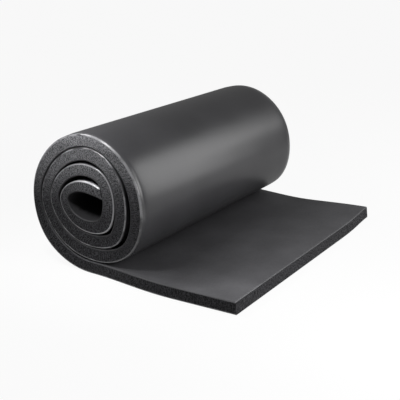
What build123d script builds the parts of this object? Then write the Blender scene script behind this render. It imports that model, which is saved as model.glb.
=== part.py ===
# A roll of flexible closed-cell rubber foam sheet, partly unrolled: one sheet, wound loosely about an open
# bore, with its outer end lying flat on the floor. The roll's axis runs along Y and the free end points to +X.
from build123d import *
import os
from math import cos, radians, sin, sqrt

# The sheet, in millimetres
sheet_thickness = 40.0
sheet_width = 1000.0
tail_length = 536.0  # from under the bore's middle to the cut end
tail_cut_lean = 5.0  # the cut's top edge stands this far behind its lower edge

# The open bore is an oval, and the turns lie round it
bore_width = 118.0
bore_height = 84.0
turn_clearance = 1.5

# How far each turn stands further off the next one in, outermost turn first, in eight directions about the
# bore
floor_gaps = (0.0, 3.0, 3.0)
lower_left_gaps = (4.0, 1.0, 1.0)
left_gaps = (0.0, 0.0, 5.0)
upper_left_gaps = (0.0, 2.0, 10.0)
top_gaps = (0.0, 9.5, 14.0)
upper_right_gaps = (4.0, 6.0, 0.0)
right_gaps = (16.0, 0.0)
lower_right_gaps = (12.0, 8.0)

# The two ends of the winding, in millimetres and degrees
lift_off_radius = 235.0  # where the sheet leaves the floor
inner_end_radius = 100.0
inner_end_turn = 25.0  # how far past the top of the innermost turn the sheet's inner end lies
inner_end_slant = 20.0  # the inner end is this much longer on the bore's side
inner_end_inset = 12.0  # to the upper right, where that end lies, the turns come this much closer in

# The roll's flat ends stand back from the tail's long edges, and are a little askew to them
end_setback = 37.0
end_skew = 2.9
edge_swing = 320.0  # over this length of the tail, its edges swing across to the roll's ends

# The winding is told by how far the sheet's skin reaches from the bore's middle in these eight directions
gaps = (
    floor_gaps,
    lower_left_gaps,
    left_gaps,
    upper_left_gaps,
    top_gaps,
    upper_right_gaps,
    right_gaps,
    lower_right_gaps,
)
step_angle = 360 / len(gaps)
top_step = gaps.index(top_gaps)
end_step = gaps.index(upper_right_gaps)


def bore_reach(angle):
    across = bore_width / 2 * sin(radians(angle))
    up = bore_height / 2 * cos(radians(angle))
    return sqrt(across**2 + up**2)


def skin_reaches():
    """The outer skin's reach at every step of the winding, from the floor round to the inner end."""
    pitch = sheet_thickness + turn_clearance
    reaches = []
    for k in range(sum(len(direction) + 1 for direction in gaps)):
        inside = gaps[k % len(gaps)][k // len(gaps) :]
        own = bore_reach(k * step_angle) + sheet_thickness
        if k % len(gaps) == end_step:
            own -= inner_end_inset
        reaches.append(own + len(inside) * pitch + sum(inside))
    return reaches


def skin_radii(reaches):
    """Radii of a chain of tangent arcs, one centred on each direction, that touches every reach."""
    near = 1 - cos(radians(step_angle / 2))
    own = 2 * (1 - near - cos(radians(step_angle)))
    radii = [lift_off_radius] + reaches[1:-1] + [inner_end_radius]
    for _ in range(60):
        for k in range(1, len(reaches) - 1):
            bend = reaches[k - 1] + reaches[k + 1] - 2 * cos(radians(step_angle)) * reaches[k]
            radii[k] = (bend - near * (radii[k - 1] + radii[k + 1])) / own
    return radii


reaches = skin_reaches()
radii = skin_radii(reaches)
bore_middle = reaches[0]  # its height above the floor


def outward(angle):
    """The winding runs from the floor up the left side, over the top and down the right side."""
    return Vector(-sin(radians(angle)), 0, -cos(radians(angle)))


def first_centre():
    """The first arc stands on the floor, and the second one's reach sets how far along it does."""
    drop = radii[0] - bore_middle
    reach = reaches[1] - radii[1] - (radii[0] - radii[1]) * cos(radians(step_angle / 2))
    return Vector(-(reach + drop * cos(radians(step_angle))) / sin(radians(step_angle)), 0, radii[0])


def spiral(depth, end_angle):
    """The chain of arcs this deep inside the outer skin, from the floor to the inner end."""
    centre = first_centre()
    start = 0.0
    chain = []
    for k, radius in enumerate(radii):
        stop = min((k + 0.5) * step_angle, end_angle)
        points = [centre + (radius - depth) * outward(a) for a in (start, (start + stop) / 2, stop)]
        chain.append(ThreePointArc(*points))
        if stop == end_angle:
            break
        centre += (radius - radii[k + 1]) * outward(stop)
        start = stop
    return chain


lift_off = first_centre().X
turns = len(top_gaps)
inner_end_angle = (turns * len(gaps) + top_step) * step_angle + inner_end_turn


def edge_setback(x):
    return end_setback - x * sin(radians(end_skew))


def wound_part():
    skin = spiral(0, inner_end_angle)
    lining = spiral(sheet_thickness, inner_end_angle)
    heading = outward(inner_end_angle + 90)
    tip = lining[-1] @ 1 + inner_end_slant * heading
    start = Line(lining[0] @ 0, skin[0] @ 0)
    end = [Line(skin[-1] @ 1, tip), Line(tip, lining[-1] @ 1)]
    section = make_face(Wire(skin + lining + end + [start]))
    reach = 2 * bore_middle
    near = [(x, edge_setback(x)) for x in (-reach, reach)]
    far = [(x, edge_setback(x) + sheet_width) for x in (reach, -reach)]
    plan = make_face(Polyline(*near, *far, close=True))
    long_roll = Pos(0, -sheet_width, 0) * extrude(section, amount=3 * sheet_width, dir=(0, 1, 0))
    return long_roll & extrude(plan, amount=2 * reach, dir=(0, 0, 1))


def flat_part():
    """The tail: its two long edges swing across to the roll's ends, and its cut end leans."""
    swing_end = lift_off + edge_swing
    heading = (cos(radians(end_skew)), -sin(radians(end_skew)))
    joint = edge_setback(lift_off)

    def swing(y):
        return Spline((lift_off, y + joint), (swing_end, y), tangents=[heading, (1, 0)])

    corners = [(swing_end, 0), (tail_length, 0), (tail_length, sheet_width), (swing_end, sheet_width)]
    sides = [Line(corners[k], corners[k + 1]) for k in range(3)]
    start = Line((lift_off, joint), (lift_off, joint + sheet_width))
    plan = make_face(Wire([swing(0), *sides, swing(sheet_width), start]))
    tail = extrude(plan, amount=sheet_thickness, dir=(0, 0, 1))
    wedge = Polyline(
        (tail_length, 0, 0),
        (tail_length, 0, sheet_thickness),
        (tail_length - tail_cut_lean, 0, sheet_thickness),
        close=True,
    )
    return tail - extrude(make_face(wedge), amount=sheet_width, dir=(0, 1, 0))


sheet = wound_part() + flat_part()
box = sheet.bounding_box()
middle = box.center()
sheet = Pos(-middle.X, -middle.Y, -box.min.Z) * sheet

os.makedirs("parts", exist_ok=True)
export_step(sheet, "parts/insulation_sheet.step")
print("solids", len(sheet.solids()), "valid", sheet.is_valid, "volume", round(sheet.volume), "box", box.size)
print("bore's middle at x", round(-middle.X, 1), "and z", round(bore_middle, 1))
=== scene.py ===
import math

import bmesh
import bpy
import numpy as np
from mathutils import Matrix, Vector


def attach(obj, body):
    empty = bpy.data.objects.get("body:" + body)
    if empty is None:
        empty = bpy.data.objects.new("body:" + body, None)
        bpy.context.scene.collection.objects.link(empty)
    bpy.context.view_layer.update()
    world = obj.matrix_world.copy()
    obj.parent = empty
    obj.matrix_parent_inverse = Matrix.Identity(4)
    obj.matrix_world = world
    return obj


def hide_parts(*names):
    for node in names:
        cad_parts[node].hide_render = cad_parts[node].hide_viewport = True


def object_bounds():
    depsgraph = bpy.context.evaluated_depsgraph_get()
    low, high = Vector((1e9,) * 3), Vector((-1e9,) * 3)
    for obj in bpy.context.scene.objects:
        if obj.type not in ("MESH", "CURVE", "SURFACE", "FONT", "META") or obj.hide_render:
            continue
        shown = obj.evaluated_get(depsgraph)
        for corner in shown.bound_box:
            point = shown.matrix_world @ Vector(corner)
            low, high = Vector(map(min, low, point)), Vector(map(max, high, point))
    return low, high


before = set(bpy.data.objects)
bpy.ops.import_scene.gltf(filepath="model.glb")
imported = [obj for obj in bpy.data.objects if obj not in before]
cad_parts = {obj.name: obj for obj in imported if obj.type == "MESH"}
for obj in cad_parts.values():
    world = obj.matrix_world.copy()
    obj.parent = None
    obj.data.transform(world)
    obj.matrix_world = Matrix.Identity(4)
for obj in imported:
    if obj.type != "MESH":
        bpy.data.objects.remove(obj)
cad_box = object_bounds()

# The insulation is one sheet of flexible closed-cell rubber foam, 1 m wide and 40 mm thick, wound loosely
# about an open bore. Its outer end lies flat on the floor as a tail, and its inner end stops over the bore.
# Nothing ties it: the turns rest on each other, and the soft foam is squeezed a little on the left side.
SHEET_WIDTH = 1.0
SHEET_THICKNESS = 0.040
TAIL_LENGTH = 0.536  # from under the bore's middle to the cut end
BORE_HEIGHT = 0.2125  # of the bore's middle above the floor
INNER_END = math.radians(3 * 360 + 180 + 25)  # three whole turns, and on to 25 degrees past the top
STATION = 0.0065  # the sheet is drawn in strips about this long
CLOSE_STEPS = 4000  # the winding is first walked in this many steps, to space the strips evenly

# How far the skin of each turn reaches from the bore's middle, and how thick the sheet is there, in
# millimetres and outermost turn first. The directions go from the floor up the left side and over the top.
TURNS = (
    ((212.5, 169.5, 125.5, 82.0), (40.0, 43.0, 41.5, 40.5)),
    ((229.0, 178.0, 136.5, 95.0), (49.3, 40.5, 40.5, 32.0)),
    ((235.0, 198.0, 158.0, 119.5), (35.0, 39.0, 33.2, 32.5)),
    ((233.0, 188.7, 150.0, 106.0), (43.3, 37.0, 36.0, 30.0)),
    ((230.0, 188.5, 137.5, 83.0), (40.3, 42.6, 40.0, 38.0)),
    ((215.0, 169.0, 122.0, 79.0), (43.9, 42.6, 42.0, 40.0)),
    ((202.0, 141.7, 97.0), (45.5, 43.0, 47.0)),
    ((194.5, 143.0, 93.0), (40.3, 41.5, 48.0)),
)
STEP = 2 * math.pi / len(TURNS)


def turns_in_order(column):
    """The table's reaches or thicknesses in the order they are met along the sheet, in metres."""
    rows = [row[column] for row in TURNS]
    count = sum(len(row) for row in rows)
    return np.array([rows[k % len(rows)][k // len(rows)] for k in range(count)]) / 1000


def smooth_reach(knots):
    """A cubic spline through the reaches. It gives a reach and its slope at any angle of the winding."""
    last = len(knots) - 1
    rows = np.zeros((last + 1, last + 1))
    known = np.zeros(last + 1)
    rows[0, :2] = (2, 1)  # level where the winding leaves the floor
    known[0] = knots[1] - knots[0]
    for k in range(1, last):
        rows[k, k - 1 : k + 2] = (1, 4, 1)
        known[k] = knots[k + 1] - 2 * knots[k] + knots[k - 1]
    rows[last, last] = 1  # and with no bend at its last reach
    bend = np.linalg.solve(rows, known)

    def reach(angle):
        k = np.clip((angle / STEP).astype(int), 0, last - 1)
        b = angle / STEP - k
        a = 1 - b
        value = a * knots[k] + b * knots[k + 1] + (a**3 - a) * bend[k] + (b**3 - b) * bend[k + 1]
        slope = knots[k + 1] - knots[k] + (3 * b**2 - 1) * bend[k + 1] - (3 * a**2 - 1) * bend[k]
        return value, slope / STEP

    return reach


def winding(reach, angle):
    """Points (x, height) of the curve whose tangents stand this far from the bore's middle."""
    value, slope = reach(angle)
    x = -value * np.sin(angle) - slope * np.cos(angle)
    z = BORE_HEIGHT - value * np.cos(angle) + slope * np.sin(angle)
    return np.stack([x, z], 1)


def lengths(line):
    """The way walked along a line at each of its points."""
    return np.concatenate([[0], np.cumsum(np.linalg.norm(np.diff(line, axis=0), axis=1))])


skin_reach = smooth_reach(turns_in_order(0))
lining_reach = smooth_reach(turns_in_order(0) - turns_in_order(1))
close_angles = np.linspace(0, INNER_END, CLOSE_STEPS)
walked = lengths(winding(skin_reach, close_angles))
angles = np.interp(np.linspace(0, walked[-1], int(walked[-1] / STATION)), walked, close_angles)
tail_x = np.linspace(TAIL_LENGTH, 0, int(TAIL_LENGTH / STATION), endpoint=False)
skin_tail = np.stack([tail_x, 0 * tail_x], 1)
lining_tail = np.stack([tail_x, 0 * tail_x + SHEET_THICKNESS], 1)
skin_line = np.vstack([skin_tail, winding(skin_reach, angles)])
lining_line = np.vstack([lining_tail, winding(lining_reach, angles)])
along_line = lengths(skin_line)
whole_length = along_line[-1]

# The sheet's two ends are cut a little out of square. The tail's cut leans back from the floor, and the
# inner one is longer on the bore's side and is pushed up against the turn outside it.
TAIL_LEAN = 0.005
TAIL_LEAN_STRETCH = 0.08  # the lean dies away over this much of the sheet
INNER_END_LAP = 0.0085  # it reaches this much further than the winding
INNER_END_SLANT = 0.030  # and its lining this much further again
INNER_END_DROP = math.radians(5)  # the tip of the lining points this far below the level
INNER_END_STRETCH = 0.06  # both die away over this much of the sheet
heading = np.gradient(lining_line, axis=0)
heading /= np.linalg.norm(heading, axis=1)[:, None]
tip_heading = np.array([math.cos(INNER_END_DROP), -math.sin(INNER_END_DROP)])
near_tail_end = np.clip(1 - along_line / TAIL_LEAN_STRETCH, 0, 1) ** 2
near_inner_end = np.clip(1 - (whole_length - along_line) / INNER_END_STRETCH, 0, 1) ** 2
lining_line += heading * (TAIL_LEAN * near_tail_end)[:, None]
lining_line += tip_heading * ((INNER_END_LAP + INNER_END_SLANT) * near_inner_end)[:, None]
skin_line += heading * (INNER_END_LAP * near_inner_end)[:, None]

# Every edge is round, because the knife that cut the sheet drew its skin over them. The skin's long edges
# are the roundest, then the lining's, and the edges of the two cut ends are the sharpest.
SKIN_ROUND = 0.005
LINING_ROUND = 0.0035
END_ROUND = 0.0025
CORNER = 4  # strips on either side of the middle of each round
ACROSS = 2 * CORNER + 30  # strips across the sheet's width
DEEP = 2 * CORNER + 4  # strips through its thickness


def side(length, first_round, last_round, strips):
    """One side of a rounded oblong, from corner to corner: places along it, and how far inside it."""
    turn = np.linspace(math.pi / 4, 0, CORNER + 1)
    straight = np.linspace(first_round, length - last_round, strips - 2 * CORNER + 1)[1:-1]
    start = first_round * (1 - np.sin(turn))
    end = length - last_round * (1 - np.sin(turn[::-1]))
    inside_start = first_round * (1 - np.cos(turn))
    inside_end = last_round * (1 - np.cos(turn[::-1]))
    places = np.concatenate([start, straight, end])
    inside = np.concatenate([inside_start, 0 * straight, inside_end])
    return places, inside


def cross_section(inset):
    """The sheet's section less an inset: a grid of (across, deep), with its rim on the rounded outline."""
    skin_round = SKIN_ROUND - inset
    lining_round = LINING_ROUND - inset
    width = SHEET_WIDTH - 2 * inset
    thick = SHEET_THICKNESS - 2 * inset
    grid = np.zeros((ACROSS + 1, DEEP + 1, 2))
    places, inside = side(width, skin_round, skin_round, ACROSS)
    grid[:, 0] = np.stack([places, inside], 1)
    places, inside = side(width, lining_round, lining_round, ACROSS)
    grid[:, DEEP] = np.stack([places, thick - inside], 1)
    places, inside = side(thick, skin_round, lining_round, DEEP)
    grid[0, :] = np.stack([inside, places], 1)
    grid[ACROSS, :] = np.stack([width - inside, places], 1)
    u = np.linspace(0, 1, ACROSS + 1)[1:-1, None, None]
    v = np.linspace(0, 1, DEEP + 1)[None, 1:-1, None]
    between_faces = (1 - v) * grid[1:-1, :1] + v * grid[1:-1, DEEP:]
    between_edges = (1 - u) * grid[:1, 1:-1] + u * grid[ACROSS:, 1:-1]
    corners = (1 - u) * ((1 - v) * grid[0, 0] + v * grid[0, DEEP])
    corners = corners + u * ((1 - v) * grid[ACROSS, 0] + v * grid[ACROSS, DEEP])
    grid[1:-1, 1:-1] = between_faces + between_edges - corners
    return grid + inset


# the places of the grid's rim, once round it
ring = [(a, 0) for a in range(ACROSS)] + [(ACROSS, b) for b in range(DEEP)]
ring += [(a, DEEP) for a in range(ACROSS, 0, -1)] + [(0, b) for b in range(DEEP, 0, -1)]
ring_across = np.array([a for a, b in ring])
ring_deep = np.array([b for a, b in ring])

# The roll's flat ends stand back from the tail's long edges and are a little askew to them, and the tail's
# edges swing across to meet them. The tail's far corner curls up off the floor, and the cutting drew the
# skin of the outermost turn in at the roll's ends.
END_SETBACK = 0.037
END_SKEW = math.sin(math.radians(2.9))
EDGE_SWING = 0.32  # over this length of the tail, its edges swing across
EDGE_WAVES = ((0.0012, 9, 1), (0.0006, 31, 0))  # how far, radians to the metre, and their start
CORNER_CURL = 0.012
CURL_WIDTH = 0.26  # of the tail, from its far edge
CURL_START = 0.20  # to the right of the bore's middle
OUTER_TURN = (TAIL_LENGTH, TAIL_LENGTH + 1.32)  # the stretch of the sheet that is the outermost turn
DRAWN_IN = 0.0025
DRAWN_WIDTH = 0.028  # from an edge
DRAWN_GROWS = 0.3  # over this much of the sheet where the outermost turn starts
DRAWN_FADES = 0.15  # and over this much where it stops
origin = Vector((cad_box[1][0] - TAIL_LENGTH, cad_box[0][1], 0))  # under the bore, at the near edge


def ease(x):
    """A soft step from 0 at 0 to 1 at 1."""
    x = np.clip(x, 0, 1)
    return x * x * (3 - 2 * x)


def set_out(along, across, deep):
    """Points in the frame from places in the sheet: how far they lie along it from the tail's end, across
    it from the near edge, and deep from the skin."""
    low = np.stack([np.interp(along, along_line, skin_line[:, k]) for k in (0, 1)], -1)
    high = np.stack([np.interp(along, along_line, lining_line[:, k]) for k in (0, 1)], -1)
    to_edge = np.clip(1 - np.minimum(across, SHEET_WIDTH - across) / DRAWN_WIDTH, 0, 1)
    on_turn = ease((along - OUTER_TURN[0]) / DRAWN_GROWS) * ease((OUTER_TURN[1] - along) / DRAWN_FADES)
    drawn = DRAWN_IN * to_edge**2 * on_turn
    share = ((deep + drawn * (1 - deep / SHEET_THICKNESS)) / SHEET_THICKNESS)[..., None]
    x, z = np.moveaxis(low + (high - low) * share, -1, 0)
    u = np.clip(x / EDGE_SWING, 0, 1)
    swing = END_SETBACK * (2 * u**3 - 3 * u**2 + 1) - END_SKEW * EDGE_SWING * (u**3 - 2 * u**2 + u)
    edge = np.where(along < TAIL_LENGTH, swing, END_SETBACK - x * END_SKEW)
    for wave, rate, start in EDGE_WAVES:
        edge = edge + wave * np.sin(rate * along + start) * ease(along)
    curl_across = ease((across - (SHEET_WIDTH - CURL_WIDTH)) / CURL_WIDTH)
    curl_along = ease((x - CURL_START) / (TAIL_LENGTH - CURL_START))
    curl = CORNER_CURL * curl_across**2 * curl_along * (along < TAIL_LENGTH)
    return np.stack([x, edge + across, z + curl], -1) + np.array(origin)


# The sheet is one closed form, of strips that run round it ring after ring along its length, with a flat
# grid over each cut end. The rounds belong to the skin and the lining, and between them is cut foam.
SKIN, LINING, CUT = range(3)  # the finishes, in the order in which the sheet takes them
END_STATIONS = 4  # rings on the round of each cut end
turn = np.linspace(0, math.pi / 2, END_STATIONS)[::-1]
end_insets = END_ROUND * (1 - np.cos(turn))
end_places = END_ROUND * (1 - np.sin(turn))
middle = np.linspace(END_ROUND, whole_length - END_ROUND, int(whole_length / STATION))[1:-1]
stations = np.concatenate([end_places, middle, whole_length - end_places[::-1]])
insets = np.concatenate([end_insets, 0 * middle, end_insets[::-1]])
rings = np.stack([cross_section(inset)[ring_across, ring_deep] for inset in insets])
count, size = rings.shape[:2]
places = np.column_stack([np.repeat(stations, size), rings.reshape(-1, 2)])
faces = []
finishes = []


def finish_at(depth):
    """The finish of the strip that starts this many strips deep."""
    if depth < CORNER:
        return SKIN
    return LINING if depth >= DEEP - CORNER else CUT


strip_finishes = [finish_at(depth) for depth in np.minimum(ring_deep, np.roll(ring_deep, -1))]
for i in range(count - 1):
    for j in range(size):
        k = (j + 1) % size
        faces.append((i * size + j, i * size + k, (i + 1) * size + k, (i + 1) * size + j))
        finishes.append(strip_finishes[j])
for last_ring in (0, count - 1):
    inside = cross_section(insets[last_ring])[1:-1, 1:-1]
    amount = (ACROSS - 1) * (DEEP - 1)
    number = np.zeros((ACROSS + 1, DEEP + 1), int)
    number[ring_across, ring_deep] = last_ring * size + np.arange(size)
    number[1:-1, 1:-1] = len(places) + np.arange(amount).reshape(ACROSS - 1, DEEP - 1)
    cap = np.column_stack([np.full(amount, stations[last_ring]), inside.reshape(-1, 2)])
    places = np.vstack([places, cap])
    for a in range(ACROSS):
        for b in range(DEEP):
            faces.append((number[a, b], number[a + 1, b], number[a + 1, b + 1], number[a, b + 1]))
            finishes.append(CUT)
mesh = bpy.data.meshes.new("foam_sheet")
mesh.from_pydata(set_out(*places.T).tolist(), [], [tuple(int(v) for v in face) for face in faces])
mesh.polygons.foreach_set("material_index", finishes)
mesh.polygons.foreach_set("use_smooth", [True] * len(faces))
lay = mesh.attributes.new("lay", "FLOAT_VECTOR", "POINT")
lay.data.foreach_set("vector", places.astype(np.float32).ravel())
shape = bmesh.new()
shape.from_mesh(mesh)
bmesh.ops.recalc_face_normals(shape, faces=shape.faces)
shape.to_mesh(mesh)
shape.free()
foam_sheet = bpy.data.objects.new("foam_sheet", mesh)
bpy.context.scene.collection.objects.link(foam_sheet)

# The outer face has a smooth skin from the mould, satin and almost black, with a faint grain that runs
# across the sheet. Its edges are lighter in a narrow, uneven strip, here lighter and there darker, part
# chafing by the knife and part painted highlight on the rounded edges. The painted highlight is stronger on
# the inner turns and round the outermost turn, and broadest near the inner end. The outermost turn's rim
# gets painted shade low down. Round the rim of the outermost turn it is stretched over the foam and
# glossier.
SKIN_SHADES = ((0.027, 0.0268, 0.0290, 1), (0.036, 0.0358, 0.0386, 1))
SKIN_NOISE = (0.3, 0.7)  # the levels of the noise that have the first shade and the second
SKIN_GRAIN = (260, 90, 90)  # clumps to the metre along, across and deep
OUTER_TURN_STOPS = (1.80, 1.95)  # these three are in metres along the sheet from the tail's end
INNER_TURNS_START = (3.20, 3.45)
# the painted highlight near the inner end runs in over this stretch
INNER_END_HIGHLIGHT_STARTS = (3.98, 4.06)
EDGE_CHAFE_AND_HIGHLIGHT_SHADES = ((0.035, 0.0345, 0.038, 1), (0.22, 0.22, 0.229, 1))  # hardly chafed, and chafed with painted highlight
# the colour of the painted highlight near the inner end
INNER_END_HIGHLIGHT_SHADE = (0.44, 0.44, 0.456, 1)
EDGE_FADES = (0.0012, 0.0042)  # in from the edge
EDGE_RAGGED = 0.002
OUTER_TURN_WIDER = 1.4  # the chafed and painted-highlight edge is wider there by this share of itself
# and wider again near the inner end, for its painted highlight
INNER_END_HIGHLIGHT_WIDER = 3.0
CHAFING_AND_HIGHLIGHT = (0.42, 0.62)  # the levels of the noise between which it turns from hardly chafed to chafed and highlighted
INNER_TURNS_PAINTED_HIGHLIGHT = 0.2  # these three move that noise up as painted highlight, or down as painted shade
OUTER_TURN_PAINTED_HIGHLIGHT = 0.12
# painted shade on the outermost turn's rim low down
LOW_RIM_PAINTED_SHADE = 0.22
LOW_RIM = (0.17, 0.27)  # painted shade darkens the outermost turn's rim below these heights
RIM_WIDTH = 1 / 42  # about 24 mm
RIM_SHINE = (0.0, 0.6)  # from the satin inside the rim to the gloss at its edge
RIM_FALL = 8.0  # of the relief at the edge, in millimetres, which turns the light on the rim
SKIN_RELIEF = 0.04  # of the grain, in millimetres too
MILLIMETRE = 0.001


class Value:
    """A socket of a material's nodes. + - * / add Math nodes, and node() adds any other kind."""

    def __init__(self, tree, socket=None):
        self.tree = tree
        self.socket = socket

    def node(self, kind, settings=(), inputs=(), out=0):
        """One output of a new node, made with its settings first and then its sockets' values or links."""
        new = self.tree.nodes.new("ShaderNode" + kind)
        for name, setting in dict(settings).items():
            setattr(new, name, setting)
        for name, given in dict(inputs).items():
            if isinstance(given, Value):
                self.tree.links.new(given.socket, new.inputs[name])
            else:
                new.inputs[name].default_value = given
        return Value(self.tree, new.outputs[out] if len(new.outputs) else None)

    def maths(self, operation, first, second):
        return self.node("Math", {"operation": operation}, {0: first, 1: second})

    def __add__(self, other):
        return self.maths("ADD", self, other)

    def __radd__(self, other):
        return self.maths("ADD", other, self)

    def __sub__(self, other):
        return self.maths("SUBTRACT", self, other)

    def __rsub__(self, other):
        return self.maths("SUBTRACT", other, self)

    def __mul__(self, other):
        return self.maths("MULTIPLY", self, other)

    def __rmul__(self, other):
        return self.maths("MULTIPLY", other, self)

    def __truediv__(self, other):
        return self.maths("DIVIDE", self, other)

    def __rtruediv__(self, other):
        return self.maths("DIVIDE", other, self)

    def at_most(self, other):
        return self.maths("MINIMUM", self, other)

    def at_least(self, other):
        return self.maths("MAXIMUM", self, other)

    def between(self, low, high):
        """0 below low and 1 above high, with a soft step between them."""
        settings = {"interpolation_type": "SMOOTHSTEP"}
        return self.node("MapRange", settings, {0: self, 1: low, 2: high})

    def mix(self, first, second):
        """The first colour where this value is 0, and the second where it is 1. A Mix node takes colours in
        its inputs 6 and 7, and gives their mix in its output 2."""
        return self.node("Mix", {"data_type": "RGBA"}, {0: self, 6: first, 7: second}, out=2)

    def times(self, scale):
        """A vector with each part multiplied."""
        return self.node("VectorMath", {"operation": "MULTIPLY"}, {0: self, 1: scale})

    def part(self, which):
        """One of a vector's three parts."""
        return self.node("SeparateXYZ", (), {"Vector": self}, out=which)

    def noise(self, scale, detail=2.0, roughness=0.5):
        """Noise at this place, with so many clumps to the metre."""
        inputs = {"Vector": self, "Scale": scale, "Detail": detail, "Roughness": roughness}
        return self.node("TexNoise", (), inputs)


def new_finish(name):
    """A material with no nodes yet."""
    material = bpy.data.materials.new(name)
    material.use_nodes = True
    material.node_tree.nodes.clear()
    return material, Value(material.node_tree)


def place_in_sheet(start):
    """Where a point lies in the sheet, as set_out takes it: along, across and deep."""
    return start.node("Attribute", {"attribute_name": "lay"}, out="Vector")


def place_in_frame(start):
    """Where a point lies in the frame. The sheet's own place is the frame's origin."""
    return start.node("TexCoord", out="Object")


def surface(start, inputs, height, distance):
    """The material's one shader, with its relief."""
    relief = start.node("Bump", (), {"Strength": 1.0, "Distance": distance, "Height": height})
    shader = start.node("BsdfPrincipled", (), {**inputs, "Normal": relief})
    start.node("OutputMaterial", (), {"Surface": shader})


skin_finish, start = new_finish("foam_skin")
place = place_in_sheet(start)
along = place.part(0)
across = place.part(1)
height = place_in_frame(start).part(2)
outermost = 1.0 - along.between(*OUTER_TURN_STOPS)
inner_turns = along.between(*INNER_TURNS_START)
# a painted highlight near the inner end, where the innermost turn's rounded edge catches the lamps
inner_end_highlight = along.between(*INNER_END_HIGHLIGHT_STARTS)
# painted shade on the outermost turn's rim low down
low_rim = outermost * (1.0 - height.between(*LOW_RIM))
from_edge = across.at_most(SHEET_WIDTH - across)
grain = place.times(SKIN_GRAIN).noise(scale=1.0, detail=4.0, roughness=0.6)
cloud = place.noise(scale=7.0, detail=3.0)
speck = place.noise(scale=1400.0)
tone = (cloud * 0.6 + grain * 0.4).between(*SKIN_NOISE)
wider = 1.0 + outermost * OUTER_TURN_WIDER + inner_end_highlight * INNER_END_HIGHLIGHT_WIDER
# a light strip along the edges: part chafing, part painted highlight on the rounded edges
worn_and_lit_edge = 1.0 - (from_edge / wider + grain * EDGE_RAGGED).between(*EDGE_FADES)
# the noise is raised on the inner turns and on the outermost turn as painted highlight, and lowered on its
# low rim as painted shade
patches = place.noise(scale=24.0, detail=3.0) + inner_turns * INNER_TURNS_PAINTED_HIGHLIGHT
patches = patches + outermost * OUTER_TURN_PAINTED_HIGHLIGHT - low_rim * LOW_RIM_PAINTED_SHADE
chafed_and_lit = patches.between(*CHAFING_AND_HIGHLIGHT)
# the strip's colour: chafed shades with painted highlight, and the painted highlight near the inner end
edge_tone_and_highlight = (chafed_and_lit + inner_end_highlight).mix(EDGE_CHAFE_AND_HIGHLIGHT_SHADES[0], inner_end_highlight.mix(EDGE_CHAFE_AND_HIGHLIGHT_SHADES[1], INNER_END_HIGHLIGHT_SHADE))
rim = outermost * (1.0 - from_edge / RIM_WIDTH).at_least(0.0)
surface(
    start,
    {
        "Base Color": worn_and_lit_edge.mix(tone.mix(*SKIN_SHADES), edge_tone_and_highlight),
        "Roughness": 0.28 + grain * 0.08 + cloud * 0.05,
        "Specular IOR Level": 0.4,
        "Coat Weight": worn_and_lit_edge.at_least(rim.between(*RIM_SHINE)),
        "Coat Roughness": 0.22,
    },
    height=(grain + speck) * SKIN_RELIEF - rim * rim * RIM_FALL,
    distance=MILLIMETRE,
)

# The inner face shows on top of the tail and in the bore. It is more matt than the skin, with a very fine
# close grain. Towards the tail's end and its near edge it is lighter, part dust from handling and part
# painted sheen, most of all at the near corner, and it is darker where it is wound up.
LINING_SHADES = ((0.032, 0.0317, 0.0340, 1), (0.055, 0.0546, 0.0585, 1))
# lighter shades, part handling dust and part painted sheen
HANDLED_AND_SHEEN_SHADES = ((0.088, 0.0874, 0.0928, 1), (0.124, 0.1232, 0.1306, 1))
WOUND_SHADE = (0.022, 0.0218, 0.0234, 1)
LINING_NOISE = (0.35, 0.65)
LINING_RELIEF = 0.00035
WOUND_STARTS = (0.60, 0.85)  # along the sheet
NEAR_TAIL_END = (0.0, 0.26)
NEAR_EDGE = (0.0, 0.20)
END_HANDLED_AND_SHEEN = 0.5  # the share of the handled and painted-sheen shades at the tail's end
EDGE_HANDLED_AND_SHEEN = 0.2  # and along its near edge
CORNER_HANDLED_AND_SHEEN = 1.15  # and this much more where the two meet
lining_finish, start = new_finish("foam_lining")
place = place_in_sheet(start)
near_end = 1.0 - place.part(0).between(*NEAR_TAIL_END)
near_edge = 1.0 - place.part(1).between(*NEAR_EDGE)
# darker where the sheet is wound up
wound = place.part(0).between(*WOUND_STARTS)
grain = place.noise(scale=240.0, detail=4.0, roughness=0.75)
cloud = place.noise(scale=6.0, detail=3.0)
tone = (cloud * 0.45 + grain * 0.55).between(*LINING_NOISE)
# lighter towards the tail's end and near edge, most at the near corner: part handling dust, part painted
# sheen
handled_and_sheen = near_end * END_HANDLED_AND_SHEEN + (1.0 - wound) * near_edge * EDGE_HANDLED_AND_SHEEN
handled_and_sheen = handled_and_sheen + near_end * near_edge * CORNER_HANDLED_AND_SHEEN
plain_tone = wound.mix(tone.mix(*LINING_SHADES), WOUND_SHADE)
surface(
    start,
    {
        "Base Color": handled_and_sheen.mix(plain_tone, tone.mix(*HANDLED_AND_SHEEN_SHADES)),
        "Roughness": 0.52 + grain * 0.1,
        "Specular IOR Level": 0.3,
    },
    height=grain,
    distance=LINING_RELIEF,
)

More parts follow.
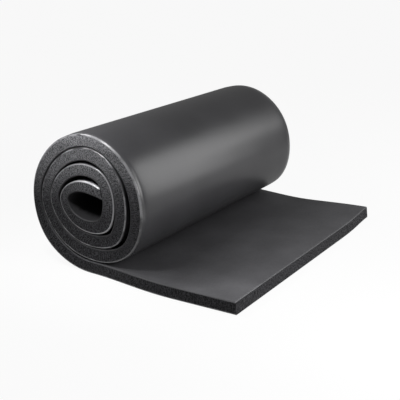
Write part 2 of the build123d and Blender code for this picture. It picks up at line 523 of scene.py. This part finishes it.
# The cut edges show the foam itself: open pores, lighter where the cells were torn, and the knife's marks
# straight across the thickness. Painted light lightens the foam on the upper turns, most of all at their
# top and less at the roll's right side, and the tail's cut end is lighter towards its far corner.
PORE_SHADES = ((0.003, 0.003, 0.0035, 1), (0.050, 0.050, 0.053, 1))  # without painted light, and with all of it
TORN_SHADES = ((0.060, 0.0592, 0.0645, 1), (0.30, 0.30, 0.314, 1))
TORN = (0.22, 0.82)  # the levels of the relief from open pores to torn cells
FOAM_NOISE = (0.40, 0.60)
FOAM_RELIEF = 0.0025
KNIFE_MARKS = (380, 380, 60)  # to the metre along, across and deep
UPPER_TURNS = (0.18, 0.36)  # the heights from no painted light to all of it
TOP = (0.395, 0.412)
RIGHT_SIDE = (-0.09, 0.0)  # where it starts, in the frame's x
RIGHT_SIDE_TOP = (0.28, 0.36)
TAIL_CUT = (0.004, 0.012)  # the tail's cut end stops here, along the sheet
# how much painted light the upper turns get, how much less at the right side and how much more at the top,
# and how much lighter the tail's cut end is
UPPER_PAINTED_LIGHT = 0.66
RIGHT_SIDE_LESS_PAINTED_LIGHT = 0.46
TOP_PAINTED_LIGHT = 0.42
TAIL_CUT_LIGHTER = 0.15
cut_finish, start = new_finish("cut_foam")
place = place_in_sheet(start)
where = place_in_frame(start)
height = where.part(2)
right_side = where.part(0).between(*RIGHT_SIDE) * (1.0 - height.between(*RIGHT_SIDE_TOP))
tail_cut = (1.0 - place.part(0).between(*TAIL_CUT)) * place.part(1)
# painted light on the upper turns, less of it at the right side
lightening = height.between(*UPPER_TURNS) * (UPPER_PAINTED_LIGHT - right_side * RIGHT_SIDE_LESS_PAINTED_LIGHT)
# more painted light at the top, and the tail's cut end lighter towards its far corner
lightening = lightening + height.between(*TOP) * TOP_PAINTED_LIGHT + tail_cut * TAIL_CUT_LIGHTER
marks = place.times(KNIFE_MARKS).noise(scale=1.0, roughness=0.6).between(*FOAM_NOISE)
clumps = place.noise(scale=230.0, roughness=0.6).between(*FOAM_NOISE)
pores = place.noise(scale=480.0, roughness=0.6).between(*FOAM_NOISE)
relief = clumps * 0.35 + marks * 0.30 + pores * 0.35
surface(
    start,
    {
        # pores and torn cells in their shades without painted light, up to their shades with all of it
        "Base Color": relief.between(*TORN).mix(lightening.mix(*PORE_SHADES), lightening.mix(*TORN_SHADES)),
        "Roughness": 0.95 - relief * 0.15,
        "Specular IOR Level": 0.15,
    },
    height=relief,
    distance=FOAM_RELIEF,
)

# The sheet takes its three finishes as it was made and cut. It is one soft, padded piece that stands for
# the whole solid, and it rides on the part's one body.
for finish in (skin_finish, lining_finish, cut_finish):
    mesh.materials.append(finish)
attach(foam_sheet, "root")
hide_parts("insulation_sheet")

# The floor is a plain white sheet just under the roll. To the camera it is as white as the photograph's
# background, and it keeps part of the roll's shadow.
FLOOR_SIZE = 40.0
FLOOR_HEIGHT = -0.0004
FLOOR_PAINT = (0.80, 0.80, 0.80, 1)
WHITE = (1, 1, 1, 1)
WHITE_SHARE = 0.93  # of what the camera sees of the floor, the rest is paint and keeps the shadow
GLOSS_SHARE = 0.15  # the satin skin shows only this much of the white


def seen_rays(start):
    """1 for rays that a camera or glass sees, a share of it for gloss, and 0 for those that only light."""
    kinds = ("Camera", "Glossy", "Transmission")
    camera, glossy, through = (start.node("LightPath", out="Is %s Ray" % kind) for kind in kinds)
    return camera + through + glossy * GLOSS_SHARE


half = FLOOR_SIZE / 2
floor_corners = [(x * half, y * half, FLOOR_HEIGHT) for x, y in ((-1, -1), (1, -1), (1, 1), (-1, 1))]
floor_mesh = bpy.data.meshes.new("floor")
floor_mesh.from_pydata(floor_corners, [], [(0, 1, 2, 3)])
floor = bpy.data.objects.new("floor", floor_mesh)
bpy.context.scene.collection.objects.link(floor)
floor_finish, start = new_finish("white_floor")
paint = start.node("BsdfDiffuse", (), {"Color": FLOOR_PAINT})
glow = start.node("Emission", (), {"Color": WHITE, "Strength": 1.0})
both = start.node("MixShader", (), {0: seen_rays(start) * WHITE_SHARE, 1: paint, 2: glow})
start.node("OutputMaterial", (), {"Surface": both})
floor_mesh.materials.append(floor_finish)

# The studio's white walls light the roll evenly from all round, and dimly beside the lamps. To the camera
# they are plain white, like the floor.
WALL_LIGHT = 0.13
world = bpy.data.worlds.new("studio")
bpy.context.scene.world = world
world.use_nodes = True
world.node_tree.nodes.clear()
start = Value(world.node_tree)
walls = start.node("Background", (), {"Color": WHITE, "Strength": WALL_LIGHT})
backdrop = start.node("Background", (), {"Color": WHITE, "Strength": 1.0})
both = start.node("MixShader", (), {0: seen_rays(start), 1: walls, 2: backdrop})
start.node("OutputWorld", (), {"Surface": both})

# Five soft lamps light the roll. The large one, high behind its right side, draws the pale band along the
# flank with the low one beside it. The side lamp lights the tail and the flank from the right, and the last
# two are narrow and light the top of the roll's near end.


def softbox(name, place, aim, size, power, spread=180):
    """A square soft lamp at a place, turned to a point. A grid on it narrows its spread."""
    lamp = bpy.data.lights.new(name, "AREA")
    lamp.shape = "SQUARE"
    lamp.size = size
    lamp.energy = power
    lamp.spread = math.radians(spread)
    stand = bpy.data.objects.new(name, lamp)
    bpy.context.scene.collection.objects.link(stand)
    stand.location = place
    stand.rotation_euler = (Vector(aim) - Vector(place)).to_track_quat("-Z", "Y").to_euler()


softbox("right_lamp", place=(1.42, 1.88, 1.38), aim=(-0.12, -0.05, 0.22), size=1.2, power=20)
softbox("low_lamp", place=(1.15, 1.25, 0.45), aim=(0.04, -0.40, 0.22), size=0.5, power=3.6)
softbox("side_lamp", place=(1.1, -0.5, 0.7), aim=(0.1, -0.2, 0.05), size=0.4, power=9.5)
softbox("front_lamp", place=(-0.2, -0.82, 0.87), aim=(-0.2, -0.5, 0.40), size=0.2, power=1.2, spread=80)
softbox("top_lamp", place=(-0.85, -0.60, 1.30), aim=(-0.15, -0.52, 0.40), size=0.3, power=1.3, spread=80)

# The camera stands to the right of the roll's near end and looks down a little. Its place, its turn and its
# focal length follow from how the sheet's straight edges run in the picture.
PICTURE_WIDTH = 400  # in pixels
FOCAL_LENGTH = 917.2  # in pixels too
SENSOR_WIDTH = 36.0
EYE = Vector((1.6505, -2.0713, 1.0652))  # from the origin under the bore
YAW = math.radians(-30.84)
PITCH = math.radians(17.21)
ROLL = math.radians(0.58)
lens = bpy.data.cameras.new("camera")
lens.sensor_width = SENSOR_WIDTH
lens.lens = FOCAL_LENGTH * SENSOR_WIDTH / PICTURE_WIDTH
camera = bpy.data.objects.new("camera", lens)
bpy.context.scene.collection.objects.link(camera)
ahead = Vector((math.sin(YAW) * math.cos(PITCH), math.cos(YAW) * math.cos(PITCH), -math.sin(PITCH)))
aside = Vector((math.cos(YAW), -math.sin(YAW), 0))
over = aside.cross(ahead)
right = math.cos(ROLL) * aside + math.sin(ROLL) * over
upward = math.cos(ROLL) * over - math.sin(ROLL) * aside
camera.matrix_world = Matrix((right, upward, -ahead)).transposed().to_4x4()
camera.location = origin + EYE
bpy.context.scene.camera = camera
bpy.context.scene.view_settings.view_transform = "Standard"
